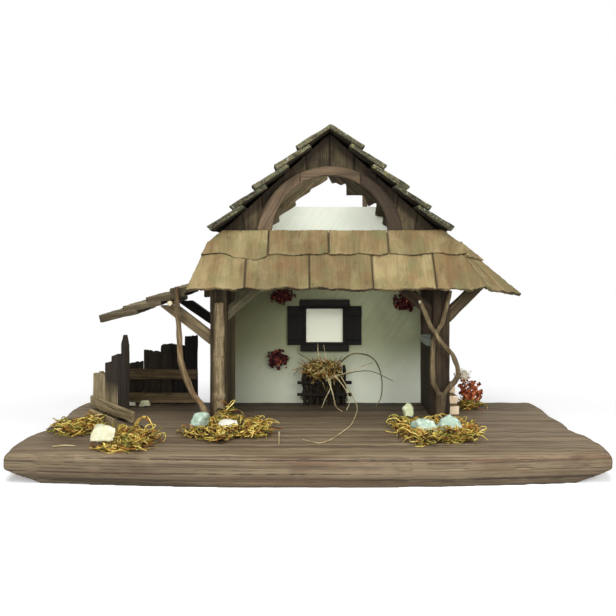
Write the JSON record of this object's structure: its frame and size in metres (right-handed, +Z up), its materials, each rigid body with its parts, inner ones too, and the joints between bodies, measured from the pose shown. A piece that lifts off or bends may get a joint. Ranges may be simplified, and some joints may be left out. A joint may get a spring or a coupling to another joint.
{
  "type": "wooden nativity stable",
  "caption": "Open-fronted wooden crib stable on a thick base board, with a shingled gable roof over an arch, a pent roof round the front, a lean-to and a fenced pen, for standing figures on a shelf",
  "frame": {"origin": "middle of the base board's underside", "axes": "+X to the right seen from the front, +Y from the open front to the back wall, +Z up"},
  "size_m": [0.6406, 0.3, 0.3944],
  "materials": {
    "base_timber": "stained planed softwood with open grain",
    "frame_timber": "weathered grey-brown sawn timber",
    "dark_timber": "dark stained sawn timber",
    "arch_timber": "brown stained sawn timber",
    "wall_paint": "board with pale brushed limewash",
    "window_film": "pale translucent sheet",
    "shutter_stain": "near-black stained wood",
    "mossy_shingle": "weathered split shingles with green bloom",
    "pent_shingle": "split tan shingles with fine ribbed grain",
    "lean_to_shingle": "grey weathered split boards",
    "bark": "bare and barked branches",
    "split_wood": "pale split firewood",
    "hay": "loose dried hay",
    "moss": "tangled dried moss",
    "dried_flower": "dried red flower heads",
    "stone": "pale painted pebbles"
  },
  "bodies": {
    "root": {"arch_crown_segment": "arch_timber", "arch_left_segment": "arch_timber", "arch_right_segment": "arch_timber", "back_fence_boards": "dark_timber", "back_fence_rails": "frame_timber", "back_left_post": "dark_timber", "back_right_post": "dark_timber", "back_wall": "wall_paint", "base_board": "base_timber", "dried_flower_bunches": "dried_flower", "firewood_logs": "split_wood", "front_beam": "dark_timber", "front_gable_boards": "frame_timber", "front_left_post": "frame_timber", "front_pent_lower_shingles": "pent_shingle", "front_pent_upper_shingles": "pent_shingle", "front_right_post": "dark_timber", "hay": "hay", "hay_rack": "shutter_stain", "hip_shingles": "pent_shingle", "lean_to_back_brace": "dark_timber", "lean_to_front_brace": "frame_timber", "lean_to_ledger": "dark_timber", "lean_to_purlin": "bark", "lean_to_shingles": "lean_to_shingle", "left_inner_brace": "frame_timber", "left_leaning_branch": "bark", "left_roof_board": "dark_timber", "left_roof_course_1": "mossy_shingle", "left_roof_course_2": "mossy_shingle", "left_roof_course_3": "mossy_shingle", "left_roof_course_4": "mossy_shingle", "left_roof_course_5": "mossy_shingle", "left_shutter": "shutter_stain", "left_upright_branch": "bark", "left_wall_boards": "dark_timber", "moss_pads": "moss", "pent_roof_boards": "dark_timber", "rear_gable_boards": "frame_timber", "rear_gable_strut": "arch_timber", "ridge_purlin": "dark_timber", "right_forked_branch": "bark", "right_half_wall_boards": "dark_timber", "right_half_wall_cap": "frame_timber", "right_inner_brace": "dark_timber", "right_outer_brace": "dark_timber", "right_pent_shingles": "pent_shingle", "right_roof_board": "dark_timber", "right_roof_course_1": "mossy_shingle", "right_roof_course_2": "mossy_shingle", "right_roof_course_3": "mossy_shingle", "right_roof_course_4": "mossy_shingle", "right_roof_course_5": "mossy_shingle", "right_shutter": "shutter_stain", "side_fence_pickets": "frame_timber", "side_fence_rails": "frame_timber", "stones": "stone", "wall_plates": "dark_timber", "window_frame": "shutter_stain", "window_pane": "window_film"}
  },
  "joints": []
}
